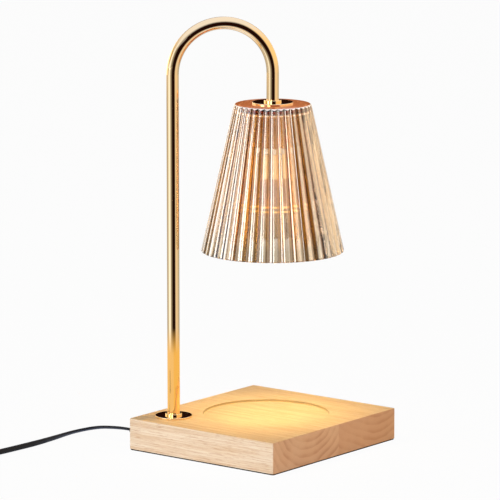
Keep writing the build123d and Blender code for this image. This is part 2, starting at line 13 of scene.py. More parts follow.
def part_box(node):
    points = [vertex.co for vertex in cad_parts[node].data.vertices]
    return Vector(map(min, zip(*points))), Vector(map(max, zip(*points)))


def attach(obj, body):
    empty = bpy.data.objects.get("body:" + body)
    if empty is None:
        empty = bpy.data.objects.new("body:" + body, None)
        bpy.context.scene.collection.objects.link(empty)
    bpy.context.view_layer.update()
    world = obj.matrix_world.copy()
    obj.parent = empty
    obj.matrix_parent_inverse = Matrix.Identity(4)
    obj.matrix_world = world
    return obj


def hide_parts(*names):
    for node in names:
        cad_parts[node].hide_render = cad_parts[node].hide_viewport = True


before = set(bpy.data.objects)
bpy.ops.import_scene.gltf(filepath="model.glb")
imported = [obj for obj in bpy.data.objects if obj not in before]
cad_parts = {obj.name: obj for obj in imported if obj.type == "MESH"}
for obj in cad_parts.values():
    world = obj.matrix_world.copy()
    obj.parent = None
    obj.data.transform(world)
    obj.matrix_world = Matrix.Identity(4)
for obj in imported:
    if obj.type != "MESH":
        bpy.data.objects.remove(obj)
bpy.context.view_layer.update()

MM = 0.001
POLE_AXIS = (-49.0, -54.0)  # mm in X and Y


def mm(*numbers):
    """A place given in millimetres."""
    return Vector(numbers) * MM


def paint(red, green, blue):
    """A colour given as 0 to 255 display values, as the linear colour that a shader takes."""
    display = [value / 255 for value in (red, green, blue)]
    return (*(v / 12.92 if v < 0.04045 else ((v + 0.055) / 1.055) ** 2.4 for v in display), 1.0)


# ---------------------------------------------------------------- camera
VIEW_AZIMUTH = radians(37.982)
VIEW_ELEVATION = radians(10.201)
VIEW_DISTANCE = 3.20935
VIEW_TARGET = mm(-7.568, -7.35, 160.037)
LENS_MM = 288.275
SENSOR_MM = 36.0


def towards(azimuth, elevation):
    """The direction from the object to a place seen at this azimuth and elevation."""
    level = cos(elevation)
    return Vector((sin(azimuth) * level, -cos(azimuth) * level, sin(elevation)))


def aim(thing, place, target):
    thing.location = place
    thing.rotation_euler = (target - place).to_track_quat("-Z", "Y").to_euler()


def place_camera():
    data = bpy.data.cameras.new("camera")
    data.sensor_width = SENSOR_MM
    data.lens = LENS_MM
    data.clip_start, data.clip_end = 0.1, 60.0
    camera = bpy.data.objects.new("camera", data)
    bpy.context.scene.collection.objects.link(camera)
    aim(camera, VIEW_TARGET + towards(VIEW_AZIMUTH, VIEW_ELEVATION) * VIEW_DISTANCE, VIEW_TARGET)
    bpy.context.scene.camera = camera


# ---------------------------------------------------------------- node helpers
def add_node(tree, kind, inputs=None, **settings):
    """A shader node with its settings made, each named input set to a value or joined to a socket."""
    node = tree.nodes.new("ShaderNode" + kind)
    for name, value in settings.items():
        setattr(node, name, value)
    for name, value in (inputs or {}).items():
        if isinstance(value, bpy.types.NodeSocket):
            tree.links.new(value, node.inputs[name])
        else:
            node.inputs[name].default_value = value
    return node


def calculate(tree, operation, first, second=0.0, clamp=False):
    return add_node(
        tree, "Math", {0: first, 1: second}, operation=operation, use_clamp=clamp
    ).outputs[0]


def blend_colours(tree, amount, first, second):
    mix = add_node(tree, "Mix", {0: amount, 6: first, 7: second}, data_type="RGBA")
    return mix.outputs[2]


def ramp(tree, amount, stops):
    """Colours or levels by amount; stops are (place, colour or level)."""
    node = add_node(tree, "ValToRGB", {0: amount})
    elements = node.color_ramp.elements
    while len(elements) < len(stops):
        elements.new(1.0)
    for element, (place, value) in zip(elements, stops):
        element.position = place
        element.color = value if isinstance(value, tuple) else (value, value, value, 1.0)
    return node.outputs[0]


def rescale(tree, value, start, end, low=0.0, high=1.0):
    """How far the value is on its way from start to end, held within it, as a level from low to high."""
    limits = {"Value": value, "From Min": start, "From Max": end, "To Min": low, "To Max": high}
    return add_node(tree, "MapRange", limits).outputs[0]


def object_place(tree):
    return add_node(tree, "TexCoord").outputs["Object"]


def scaled(tree, place, *factors):
    """The place with each axis multiplied by its own factor."""
    return add_node(tree, "VectorMath", {0: place, 1: factors}, operation="MULTIPLY").outputs[0]


def noise(tree, place, scale, detail=2.0, roughness=0.5):
    node = add_node(
        tree, "TexNoise", {"Vector": place, "Scale": scale, "Detail": detail, "Roughness": roughness}
    )
    return node.outputs["Fac"]


def new_material(name, **values):
    """A material whose Principled BSDF has these plain values."""
    material = bpy.data.materials.new(name)
    material.use_nodes = True
    shader = material.node_tree.nodes["Principled BSDF"]
    for socket, value in values.items():
        shader.inputs[socket.replace("_", " ")].default_value = value
    return material, material.node_tree, shader


def join(tree, shader, **sockets):
    """Links sockets to the shader's inputs of the same name."""
    for name, socket in sockets.items():
        tree.links.new(socket, shader.inputs[name.replace("_", " ")])


# ---------------------------------------------------------------- effects that several finishes share
def new_effect(name, inputs, outputs):
    group = bpy.data.node_groups.new(name, "ShaderNodeTree")
    for socket, value in inputs.items():
        made = group.interface.new_socket(socket, in_out="INPUT", socket_type="NodeSocketFloat")
        made.default_value = value
    for socket, kind in outputs.items():
        group.interface.new_socket(socket, in_out="OUTPUT", socket_type="NodeSocket" + kind)
    return group, group.nodes.new("NodeGroupInput"), group.nodes.new("NodeGroupOutput")


def handling_effect():
    """Roughness that drifts between two levels, as on a surface that hands have touched."""
    group, given, made = new_effect(
        "handling", {"Scale": 60, "Low": 0.1, "High": 0.2}, {"Roughness": "Float"}
    )
    place = object_place(group)
    broad = noise(group, place, given.outputs["Scale"], 3.0, 0.55)
    level = rescale(group, broad, 0.35, 0.68, given.outputs["Low"], given.outputs["High"])
    group.links.new(level, made.inputs[0])
    return group


def grain_effect():
    """Fine grain of a moulded or cast surface, as a normal and as a level."""
    group, given, made = new_effect(
        "fine_grain", {"Scale": 2500, "Depth": 0.00002}, {"Normal": "Vector", "Level": "Float"}
    )
    level = noise(group, object_place(group), given.outputs["Scale"], 3.0, 0.6)
    bump = add_node(group, "Bump", {"Height": level, "Distance": given.outputs["Depth"], "Strength": 1.0})
    group.links.new(bump.outputs[0], made.inputs["Normal"])
    group.links.new(level, made.inputs["Level"])
    return group


def effect(tree, group, **values):
    node = tree.nodes.new("ShaderNodeGroup")
    node.node_tree = group
    for socket, value in values.items():
        node.inputs[socket].default_value = value
    return node


HANDLING = handling_effect()
GRAIN = grain_effect()

# ---------------------------------------------------------------- wood
STAVE_JOINT = 4.6  # mm, where the board's two staves are glued
STAVE_HEARTS = ((-34.0, 49.0), (56.0, 84.0))  # each stave's heart, mm in Y and Z
RING_WIDTH = 6.0  # mm
RECESS_CENTRE, RECESS_RADIUS = (1.5, 2.4), 52.5  # mm, a little past the recess's wall


def heart_distance(tree, axes, heart):
    across = calculate(tree, "SUBTRACT", axes.outputs["Y"], heart[0])
    above = calculate(tree, "SUBTRACT", axes.outputs["Z"], heart[1])
    squares = [calculate(tree, "POWER", offset, 2.0) for offset in (across, above)]
    return calculate(tree, "SQRT", calculate(tree, "ADD", *squares))


def wood():
    """Pale close-grained hardwood: rings round a heart outside the board, fibres and pores along X."""
    material, tree, shader = new_material("wood", Specular_IOR_Level=0.35)
    coordinates = add_node(tree, "TexCoord")
    place = scaled(tree, coordinates.outputs["Object"], 1000, 1000, 1000)
    axes = add_node(tree, "SeparateXYZ", {0: place})
    second_stave = calculate(tree, "GREATER_THAN", axes.outputs["Y"], STAVE_JOINT)
    radius = add_node(
        tree,
        "Mix",
        {
            0: second_stave,
            2: heart_distance(tree, axes, STAVE_HEARTS[0]),
            3: heart_distance(tree, axes, STAVE_HEARTS[1]),
        },
    ).outputs[0]
    sway = noise(tree, scaled(tree, place, 0.006, 0.035, 0.035), 1.0, 2.0)
    wandering = calculate(tree, "ADD", radius, calculate(tree, "MULTIPLY", sway, 9.0))
    phase = calculate(tree, "FRACT", calculate(tree, "DIVIDE", wandering, RING_WIDTH))
    rings = ramp(tree, phase, [(0.0, 0.2), (0.4, 0.3), (0.72, 0.75), (0.86, 0.8), (1.0, 0.2)])

    fibres = noise(tree, scaled(tree, place, 0.02, 1.3, 1.3), 1.0, 4.0, 0.62)
    streaks = ramp(tree, fibres, [(0.4, 0.0), (0.6, 1.0)])
    pore_noise = noise(tree, scaled(tree, place, 0.22, 5.0, 5.0), 1.0, 1.0)
    pores = ramp(tree, pore_noise, [(0.64, 0.0), (0.72, 1.0)])
    soft_streaks = calculate(tree, "MULTIPLY", streaks, 0.55)
    figure = calculate(tree, "ADD", soft_streaks, calculate(tree, "MULTIPLY", rings, 0.4))
    facing = add_node(tree, "SeparateXYZ", {0: coordinates.outputs["Normal"]})
    # The top and the recess take a warmer, yellower copy of the grain and flecks than the sides: painted warm
    # lamplight from the bulb.
    side_grain = blend_colours(tree, figure, paint(253, 236, 213), paint(224, 188, 149))
    lamplit_top_grain = blend_colours(tree, figure, paint(246, 214, 160), paint(216, 171, 112))
    to_recess = add_node(
        tree,
        "VectorMath",
        {0: scaled(tree, place, 1, 1, 0), 1: (*RECESS_CENTRE, 0)},
        operation="DISTANCE",
    ).outputs["Value"]
    in_recess = calculate(tree, "LESS_THAN", to_recess, RECESS_RADIUS)
    upward = ramp(tree, facing.outputs["Z"], [(0.3, 0.0), (0.9, 1.0)])
    lamplit_faces = calculate(tree, "MAXIMUM", in_recess, upward)
    along = blend_colours(tree, lamplit_faces, side_grain, lamplit_top_grain)
    fleck_tint = blend_colours(tree, lamplit_faces, paint(206, 160, 118), paint(214, 164, 98))
    fleck_noise = noise(tree, scaled(tree, place, 0.085, 1.15, 1.15), 1.0, 3.0, 0.6)
    along = blend_colours(tree, ramp(tree, fleck_noise, [(0.55, 0.0), (0.64, 0.55)]), along, fleck_tint)
    # The recess's upright wall is darkened: painted shade along the rim.
    upright = ramp(tree, facing.outputs["Z"], [(0.5, 1.0), (0.9, 0.0)])
    wall = calculate(tree, "MULTIPLY", in_recess, upright)
    along = blend_colours(tree, wall, along, paint(172, 142, 88))
    along = blend_colours(tree, calculate(tree, "MULTIPLY", pores, 0.6), along, paint(186, 146, 108))

    fading_noise = noise(tree, scaled(tree, place, 0.02, 0.06, 0.06), 1.0, 2.0)
    fading_rings = calculate(tree, "MULTIPLY", rings, ramp(tree, fading_noise, [(0.35, 0.25), (0.62, 1.0)]))
    ends = blend_colours(tree, fading_rings, paint(220, 172, 132), paint(188, 130, 90))
    speckle_noise = noise(tree, scaled(tree, place, 0.3, 2.4, 2.4), 1.0, 3.0, 0.6)
    speckle = ramp(tree, speckle_noise, [(0.4, 0.0), (0.75, 0.45)])
    ends = blend_colours(tree, speckle, ends, paint(180, 124, 84))
    ends = blend_colours(tree, calculate(tree, "MULTIPLY", second_stave, 0.35), ends, paint(194, 132, 90))
    endwise = calculate(tree, "ABSOLUTE", facing.outputs["X"])
    end_grain = ramp(tree, endwise, [(0.45, 0.0), (0.85, 1.0)])
    end_grain = calculate(tree, "MULTIPLY", end_grain, calculate(tree, "SUBTRACT", 1.0, in_recess))
    colour = blend_colours(tree, end_grain, along, ends)

    relief = calculate(tree, "ADD", fibres, calculate(tree, "MULTIPLY", pores, -0.6))
    bump = add_node(tree, "Bump", {"Height": relief, "Distance": 0.00012, "Strength": 0.35})
    roughness = effect(tree, HANDLING, Scale=35, Low=0.42, High=0.58)
    join(tree, shader, Base_Color=colour, Roughness=roughness.outputs[0], Normal=bump.outputs[0])
    return material


# ---------------------------------------------------------------- metals
def gold():
    """Polished gold plating, a little hazy where it has been held."""
    material, tree, shader = new_material("gold", Metallic=1.0)
    tone = noise(tree, object_place(tree), 9.0, 2.0)
    colour = blend_colours(tree, tone, paint(250, 216, 160), paint(244, 204, 140))
    haze = effect(tree, HANDLING, Scale=45, Low=0.035, High=0.085)
    join(tree, shader, Base_Color=colour, Roughness=haze.outputs[0])
    return material


def plain_metal(name, light, dark, low, high):
    """Plated steel or brass with a fine drawn grain."""
    material, tree, shader = new_material(name, Metallic=1.0)
    grain = effect(tree, GRAIN, Scale=1400, Depth=0.000008)
    colour = blend_colours(tree, grain.outputs["Level"], light, dark)
    haze = effect(tree, HANDLING, Scale=200, Low=low, High=high)
    join(tree, shader, Base_Color=colour, Roughness=haze.outputs[0], Normal=grain.outputs["Normal"])
    return material


# ---------------------------------------------------------------- moulded and fired pieces
def moulded(name, light, dark, low, high, grain_scale=2200, grain_depth=0.00003, specular=0.5):
    """A moulded plastic, rubber or ceramic: two close tones, fine grain and uneven gloss."""
    material, tree, shader = new_material(name, Specular_IOR_Level=specular)
    grain = effect(tree, GRAIN, Scale=grain_scale, Depth=grain_depth)
    colour = blend_colours(tree, grain.outputs["Level"], light, dark)
    gloss = effect(tree, HANDLING, Scale=120, Low=low, High=high)
    join(tree, shader, Base_Color=colour, Roughness=gloss.outputs[0], Normal=grain.outputs["Normal"])
    return material


# ---------------------------------------------------------------- glass and bulb
RIB_COUNT = 36
MOUTH_RADIUS, TOP_RADIUS = 57.7 * MM, 30.8 * MM  # over the ribs
OUTER_SKIN = 3.5 * MM  # glass nearer than this to the ribs' line counts as its outside
PALE_GLARE_SIDE = radians(38)  # from +X towards +Y, the side seen at grazing from the camera, where the coat is thinned and the crests turn pale as a painted reflection
SLAB_FOOT, SLAB_EDGE = 0.954, 0.985  # shares of the height where the closed top and its shoulder begin
LEVEL_FACE = 0.9  # a face whose normal points up or down by more than this is level


def amber_glass():
    """Pressed glass with an amber coat on its outside: pale on the ribs' crests, brown in the grooves;
    painted shade in the valleys and near the mouth, a painted pale reflection on one side, and a painted
    copper glow and highlights at the top.
    """
    material, tree, shader = new_material(
        "amber_glass",
        Transmission_Weight=1.0,
        IOR=1.5,
        Metallic=0.0,
        Coat_IOR=2.2,
        Coat_Roughness=0.02,
        Emission_Strength=1.0,
    )
    low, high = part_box("glass_shade")
    middle = (low + high) / 2
    foot = (middle.x, middle.y, low.z)
    place = add_node(tree, "VectorMath", {0: object_place(tree), 1: foot}, operation="SUBTRACT").outputs[0]
    from_axis = scaled(tree, place, 1, 1, 0)
    axes = add_node(tree, "SeparateXYZ", {0: place})
    height = calculate(tree, "DIVIDE", axes.outputs["Z"], high.z - low.z)
    radius = add_node(tree, "VectorMath", {0: from_axis}, operation="LENGTH").outputs["Value"]
    rib_line = rescale(tree, height, 0.0, 1.0, MOUTH_RADIUS, TOP_RADIUS)
    off_line = calculate(tree, "SUBTRACT", radius, rib_line)
    outside = calculate(tree, "GREATER_THAN", off_line, -OUTER_SKIN)
    inside = calculate(tree, "SUBTRACT", 1.0, outside)
    up = add_node(tree, "SeparateXYZ", {0: add_node(tree, "TexCoord").outputs["Normal"]}).outputs["Z"]
    facing_up = calculate(tree, "GREATER_THAN", up, LEVEL_FACE)
    backfacing = add_node(tree, "NewGeometry").outputs["Backfacing"]
    from_outside = calculate(tree, "SUBTRACT", 1.0, backfacing)

    angle = calculate(tree, "ARCTAN2", axes.outputs["Y"], axes.outputs["X"])
    ribs = calculate(tree, "MULTIPLY", angle, RIB_COUNT / (2 * pi))
    off_crest = calculate(tree, "PINGPONG", ribs, 0.5)
    groove = ramp(tree, off_crest, [(0.12, 0.0), (0.22, 1.0)])
    valley_shade = ramp(tree, off_crest, [(0.40, 0.0), (0.44, 1.0)])
    rib_number = {"W": calculate(tree, "FLOOR", ribs)}
    each_rib = add_node(tree, "TexWhiteNoise", rib_number, noise_dimensions="1D").outputs["Value"]
    outward = add_node(tree, "VectorMath", {0: from_axis}, operation="NORMALIZE").outputs[0]
    # The coat fades toward one side, and the crests there turn pale beige: a painted reflection of the glass
    # seen at grazing.
    bearing = (cos(PALE_GLARE_SIDE), sin(PALE_GLARE_SIDE), 0)
    toward_glare = add_node(tree, "VectorMath", {0: outward, 1: bearing}, operation="DOT_PRODUCT").outputs["Value"]
    lustre_and_glare = ramp(tree, toward_glare, [(0.64, 1.0), (0.94, 0.12)])

    tone = noise(tree, object_place(tree), 30.0, 2.0)
    crest_tint = blend_colours(tree, tone, paint(239, 213, 188), paint(231, 200, 170))
    crest_tint = blend_colours(tree, lustre_and_glare, paint(252, 206, 148), crest_tint)
    groove_tint = blend_colours(tree, each_rib, paint(118, 56, 4), paint(176, 108, 34))
    # Near the mouth the grooves darken and the crests dull: painted dark reflections of the board below.
    mouth_shade_tint = blend_colours(tree, groove, paint(184, 156, 116), paint(62, 36, 12))
    mouth_shade = calculate(tree, "MULTIPLY", ramp(tree, height, [(0.07, 0.95), (0.2, 0.0)]), lustre_and_glare)
    in_slab = calculate(tree, "GREATER_THAN", height, SLAB_FOOT)
    level = calculate(tree, "GREATER_THAN", calculate(tree, "ABSOLUTE", up), LEVEL_FACE)
    slab = calculate(tree, "MULTIPLY", in_slab, calculate(tree, "MAXIMUM", level, groove))
    colour = blend_colours(tree, calculate(tree, "MULTIPLY", groove, lustre_and_glare), crest_tint, groove_tint)
    # A near-black line down each valley: painted shade in the crease between ribs.
    colour = blend_colours(tree, calculate(tree, "MULTIPLY", valley_shade, lustre_and_glare), colour, paint(70, 26, 8))
    colour = blend_colours(tree, mouth_shade, colour, mouth_shade_tint)
    colour = blend_colours(tree, inside, colour, paint(250, 244, 236))
    colour = blend_colours(tree, slab, colour, paint(130, 72, 40))

    sheen = effect(tree, HANDLING, Scale=80, Low=0.0, High=0.03)
    haze = calculate(tree, "ADD", sheen.outputs[0], calculate(tree, "MULTIPLY", inside, 0.1))

    # The roof's outside is given a copper emission: a painted reflection on glass that is no lamp.
    on_roof = calculate(tree, "MULTIPLY", in_slab, facing_up)
    lustre_coat = calculate(tree, "SUBTRACT", 1.0, on_roof)
    roof = calculate(tree, "MULTIPLY", on_roof, from_outside)
    # Cream emission along the outer shoulder and in a thin line under the roof: painted highlights.
    at_top = calculate(tree, "GREATER_THAN", height, SLAB_EDGE)
    rounded = ramp(tree, up, [(0.25, 0.0), (0.4, 1.0), (0.75, 1.0), (0.9, 0.0)])
    shoulder = calculate(tree, "MULTIPLY", rounded, calculate(tree, "MULTIPLY", at_top, from_outside))
    below_slab = ramp(tree, height, [(0.937, 0.0), (0.941, 1.0), (0.947, 1.0), (0.951, 0.0)])
    under_roof = calculate(tree, "MULTIPLY", below_slab, inside)
    painted_highlights = calculate(tree, "MAXIMUM", shoulder, under_roof)
    # Emission colour: the painted copper reflection on the roof, then the painted highlights.
    glow = blend_colours(tree, roof, (0, 0, 0, 1), paint(172, 98, 56))
    glow = blend_colours(tree, painted_highlights, glow, paint(246, 236, 220))
    join(tree, shader, Base_Color=colour, Roughness=haze, Coat_Weight=lustre_coat, Emission_Color=glow)
    return material


def glowing(name, light, dark, strength, roughness):
    """A lit piece of the bulb: its own surface under a warm glow that drifts a little."""
    material, tree, shader = new_material(name, Emission_Strength=strength, Roughness=roughness)
    drift = noise(tree, object_place(tree), 160.0, 2.0)
    colour = blend_colours(tree, drift, light, dark)
    join(tree, shader, Base_Color=colour, Emission_Color=colour)
    return material


def lit_reflector():
    """Aluminised glass, silvery outside, with lamplight leaking at the rim and at the neck."""
    material, tree, shader = new_material("bulb_reflector", Metallic=0.4, Emission_Strength=1.0)
    low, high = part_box("bulb_reflector")
    height = add_node(tree, "SeparateXYZ", {0: object_place(tree)}).outputs["Z"]
    share = rescale(tree, height, low.z, high.z)
    body, ring, dark = paint(92, 76, 68), paint(255, 232, 140), paint(80, 60, 44)
    rim_rings = [(0.0, dark), (0.07, dark), (0.09, ring), (0.12, ring), (0.14, dark)]
    rim_rings += [(0.2, dark), (0.22, ring), (0.25, ring)]
    neck = [(0.28, body), (0.75, body), (1.0, paint(168, 132, 84))]
    leak = ramp(tree, share, rim_rings + neck)
    drift = noise(tree, object_place(tree), 120.0, 2.0)
    colour = blend_colours(tree, drift, paint(198, 176, 164), paint(184, 160, 146))
    sheen = effect(tree, HANDLING, Scale=90, Low=0.12, High=0.24)
    join(tree, shader, Base_Color=colour, Roughness=sheen.outputs[0], Emission_Color=leak)
    return material


# ---------------------------------------------------------------- shade
STEPS_PER_RIB = 16
LIP_STEPS, CORNER_STEPS = 3, 4
RIB_DEPTH_TOP, RIB_DEPTH_MOUTH = 1.1 * MM, 1.9 * MM
WALL = 4.0 * MM
SHOULDER_ROUND, LIP_ROUND, INNER_ROUND = 1.4 * MM, 0.9 * MM, 3.0 * MM
TOP_THICKNESS = 5.0 * MM
HOLE_RADIUS = 5.6 * MM


def ribbed_shade(material):
    """The shade's whole skin as one closed shell, ring by ring from the mouth to the hole and back."""
    low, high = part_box("glass_shade")
    axis = (low + high) / 2
    mouth_radius = (high.x - low.x) / 2
    height = high.z - low.z

    def crest(z):
        return mouth_radius + (TOP_RADIUS - mouth_radius) * (z - low.z) / height

    def depth(z):
        return RIB_DEPTH_MOUTH + (RIB_DEPTH_TOP - RIB_DEPTH_MOUTH) * (z - low.z) / height

    def inner(z):
        return crest(z) - depth(z) - WALL

    def shape(verts, z, trim, ribs):
        """Moves a ring to its height; trim is the widest radius that it may have."""
        for vert in verts:
            angle = atan2(vert.co.y - axis.y, vert.co.x - axis.x)
            across = (angle * RIB_COUNT / (2 * pi) + 0.5) % 1 - 0.5
            reach = min(crest(z) - depth(z) * (2 * across) ** 2, trim) if ribs else trim
            vert.co = Vector((axis.x + reach * cos(angle), axis.y + reach * sin(angle), z))

    rings = []
    for step in range(LIP_STEPS + 1):  # lip, from the mouth's flat to the wall
        turn = pi / 2 * step / LIP_STEPS
        z = low.z + LIP_ROUND * (1 - cos(turn))
        rings.append((z, crest(low.z) - LIP_ROUND * (1 - sin(turn)), True))
    for share in (0.1, 0.25, 0.4, 0.55, 0.7, 0.85, 0.95):
        z = low.z + height * share
        rings.append((z, crest(z), True))
    for step in range(CORNER_STEPS + 1):
        turn = pi / 2 * step / CORNER_STEPS
        z = high.z - SHOULDER_ROUND * (1 - sin(turn))
        rings.append((z, crest(z) - SHOULDER_ROUND * (1 - cos(turn)), True))
    under = high.z - TOP_THICKNESS
    rings += [(high.z, HOLE_RADIUS, False), (under, HOLE_RADIUS, False)]
    for step in range(CORNER_STEPS + 1):
        turn = pi / 2 * step / CORNER_STEPS
        z = under - INNER_ROUND * (1 - cos(turn))
        rings.append((z, inner(under) - INNER_ROUND * (1 - sin(turn)), False))
    for share in (0.75, 0.5, 0.25, 0.0):
        z = low.z + height * share
        rings.append((z, inner(z), False))

    mesh = bmesh.new()
    segments = RIB_COUNT * STEPS_PER_RIB
    bmesh.ops.create_circle(mesh, cap_ends=False, radius=mouth_radius, segments=segments)
    bmesh.ops.translate(mesh, vec=(axis.x, axis.y, 0), verts=mesh.verts)
    shape(mesh.verts, *rings[0])
    start_edges = edges = list(mesh.edges)
    for ring in rings[1:]:
        grown = bmesh.ops.extrude_edge_only(mesh, edges=edges)["geom"]
        verts = [piece for piece in grown if isinstance(piece, bmesh.types.BMVert)]
        edges = [piece for piece in grown if isinstance(piece, bmesh.types.BMEdge)]
        shape(verts, *ring)
    bmesh.ops.bridge_loops(mesh, edges=start_edges + edges)
    bmesh.ops.recalc_face_normals(mesh, faces=mesh.faces)
    shade = finished("ribbed_shade", mesh, material, sharp=60)
    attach(shade, "lamp")
    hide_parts("glass_shade")
    return shade


# ---------------------------------------------------------------- meshes
def finished(name, mesh, material, sharp=40):
    """An object from a bmesh, smooth but for the edges sharper than the angle."""
    data = bpy.data.meshes.new(name)
    mesh.to_mesh(data)
    mesh.free()
    data.polygons.foreach_set("use_smooth", [True] * len(data.polygons))
    data.set_sharp_from_angle(angle=radians(sharp))
    data.materials.append(material)
    made = bpy.data.objects.new(name, data)
    bpy.context.scene.collection.objects.link(made)
    return made


# ---------------------------------------------------------------- cord
CORD_WIDTH = 4.6 * MM
CORD_THICKNESS = 2.1 * MM
CORD_WAIST = 0.10  # how far the groove between the two cores sinks, as a share of the thickness
CORE_SWITCH = 1.7  # how quickly the section passes from one core to the other
GROOVE_REACH = 0.625  # how far from the middle the groove runs out, as a share of a core's offset
LEAD_TWIST = (24.0, 88.0)  # degrees, at the lamp and further on
LEAD_TWIST_START, LEAD_TWIST_RUN = -52 * MM, 70 * MM  # where in Y it begins to turn, and over how much
MAINS_TWIST = 42.0  # degrees
LEAD_ROUTE = [
    (-93.0, -54.0, 9.0),
    (-101.5, -54.0, 9.0),
    (-113.5, -53.8, 8.0),
    (-125.0, -53.5, 6.6),
    (-133.2, -56.2, 5.1),
    (-139.8, -61.6, 3.5),
    (-143.6, -70.0, 2.5),
    (-143.4, -82.0, 2.2),
    (-142.0, -98.0, 2.3),
    (-141.2, -117.0, 2.35),
    (-142.2, -139.0, 2.35),
    (-143.4, -161.0, 2.35),
    (-146.6, -181.0, 2.6),
    (-153.2, -198.0, 4.6),
    (-158.0, -216.0, 7.6),
    (-158.0, -229.0, 7.6),
]
LINK_ROUTE = [
    (-158.0, -307.0, 7.6),
    (-158.0, -316.0, 7.6),
    (-154.3, -324.8, 6.4),
    (-147.6, -331.6, 5.0),
    (-138.8, -335.6, 3.8),
    (-128.5, -336.4, 2.9),
    (-118.0, -336.1, 2.9),
    (-108.0, -335.4, 2.9),
]
TAIL_ROUTE = [
    (-91.5, -335.2, 7.6),
    (-79.5, -331.4, 7.35),
    (-68.0, -328.0, 7.05),
    (-57.0, -328.0, 7.05),
]
COIL_CENTRE = (-104.0, -302.0)
COIL_LANES = (33.4, 28.8, 24.2, 19.6, 19.6, 24.2, 28.8, 33.4)  # in on the low layer, out on the top one
LAST_LOW_LANE = 3  # in this lane the cord climbs from the low layer to the top one
COIL_LAYERS = (2.9, 7.5)
COIL_TURNS = 7
POINTS_PER_TURN = 16
LANE_CHANGE = (0.66, 0.90)  # part of each turn in which the cord moves to the next lane


def eased(start, end, share):
    share = min(max(share, 0.0), 1.0)
    return start + (end - start) * share * share * (3 - 2 * share)


def coil_route():
    """The winding's points: seven turns in from the outer lane, up a layer and out again."""
    points = []
    swell = 1 / cos(pi / POINTS_PER_TURN)  # a spline of order 3 runs inside its points by this much
    for step in range(1, COIL_TURNS * POINTS_PER_TURN):
        turns = step / POINTS_PER_TURN
        lane = int(turns)
        moved = (turns - lane - LANE_CHANGE[0]) / (LANE_CHANGE[1] - LANE_CHANGE[0])
        radius = eased(COIL_LANES[lane], COIL_LANES[lane + 1], moved) * swell
        climbed = moved if lane == LAST_LOW_LANE else float(lane > LAST_LOW_LANE)
        angle = 2 * pi * turns - pi / 2
        x = COIL_CENTRE[0] + radius * cos(angle)
        y = COIL_CENTRE[1] + radius * sin(angle)
        points.append((x, y, eased(*COIL_LAYERS, climbed)))
    return points


def spline_points(name, route):
    """Points along the smooth curve that has the route as its control points."""
    curve = bpy.data.curves.new(name, "CURVE")
    curve.dimensions = "3D"
    spline = curve.splines.new("NURBS")
    spline.points.add(len(route) - 1)
    for point, place in zip(spline.points, route):
        point.co = (*mm(*place), 1.0)
    spline.order_u = 3
    spline.use_endpoint_u = True
    spline.resolution_u = 8
    line = bpy.data.objects.new(name, curve)
    bpy.context.scene.collection.objects.link(line)
    bpy.context.view_layer.update()
    mesh = bpy.data.meshes.new_from_object(line)
    points = [vert.co.copy() for vert in mesh.vertices]
    bpy.data.meshes.remove(mesh)
    bpy.data.objects.remove(line)
    bpy.data.curves.remove(curve)
    return points


def section_place(angle):
    """The twin-core section: two round cores side by side with a shallow groove between them."""
    side = min(max(CORE_SWITCH * cos(angle), -1.0), 1.0)
    core = CORD_THICKNESS / 2
    groove = 1 - CORD_WAIST * (1 - min(abs(side) / GROOVE_REACH, 1.0))
    return Vector(((CORD_WIDTH / 2 - core) * side + core * cos(angle), core * sin(angle) * groove, 0))


def cord_mesh(name, points, twist, material):
    """The sheath along the points; twist(place) is the angle by which it leaves lying flat."""
    mesh = bmesh.new()
    bmesh.ops.create_circle(mesh, cap_ends=False, radius=1.0, segments=20)
    for vert in mesh.verts:
        vert.co = section_place(atan2(vert.co.y, vert.co.x))
    edges, verts = list(mesh.edges), list(mesh.verts)
    ends = [edges]

    def stance(index):
        ahead = points[min(index + 1, len(points) - 1)] - points[max(index - 1, 0)]
        along = ahead.normalized()
        side = along.cross(Vector((0, 0, 1))).normalized()
        above = side.cross(along)
        turn = Matrix.Rotation(twist(points[index]), 3, along)
        side, above = turn @ side, turn @ above
        placed = Matrix((side, above, along)).transposed().to_4x4()
        placed.translation = points[index]
        return placed

    held = stance(0)
    bmesh.ops.transform(mesh, matrix=held, verts=verts)
    for index in range(1, len(points)):
        grown = bmesh.ops.extrude_edge_only(mesh, edges=edges)["geom"]
        verts = [piece for piece in grown if isinstance(piece, bmesh.types.BMVert)]
        edges = [piece for piece in grown if isinstance(piece, bmesh.types.BMEdge)]
        following = stance(index)
        bmesh.ops.transform(mesh, matrix=following @ held.inverted(), verts=verts)
        held = following
    ends.append(edges)
    for loop in ends:
        bmesh.ops.edgeloop_fill(mesh, edges=loop)
    bmesh.ops.recalc_face_normals(mesh, faces=mesh.faces)
    return finished(name, mesh, material, sharp=60)


def straight_share(start, end, share):
    return start + (end - start) * min(max(share, 0.0), 1.0)


def lead_twist(place):
    """Nearly flat at the lamp, on edge from the front of the board on."""
    return radians(straight_share(*LEAD_TWIST, (LEAD_TWIST_START - place.y) / LEAD_TWIST_RUN))


def mains_twist(place):
    """Half on edge, as the cord takes in a coil."""
    return radians(MAINS_TWIST)


def lay_cords(material):
    lead_points = spline_points("lead_line", LEAD_ROUTE)
    lead = cord_mesh("lamp_cord", lead_points, lead_twist, material)
    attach(lead, "lamp")
    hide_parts("cord_lead")
    mains_points = spline_points("mains_line", LINK_ROUTE[:-1] + coil_route() + TAIL_ROUTE)
    mains = cord_mesh("mains_cord", mains_points, mains_twist, material)
    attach(mains, "lamp")
    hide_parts("cord_link", "cord_coil", "cord_tail")


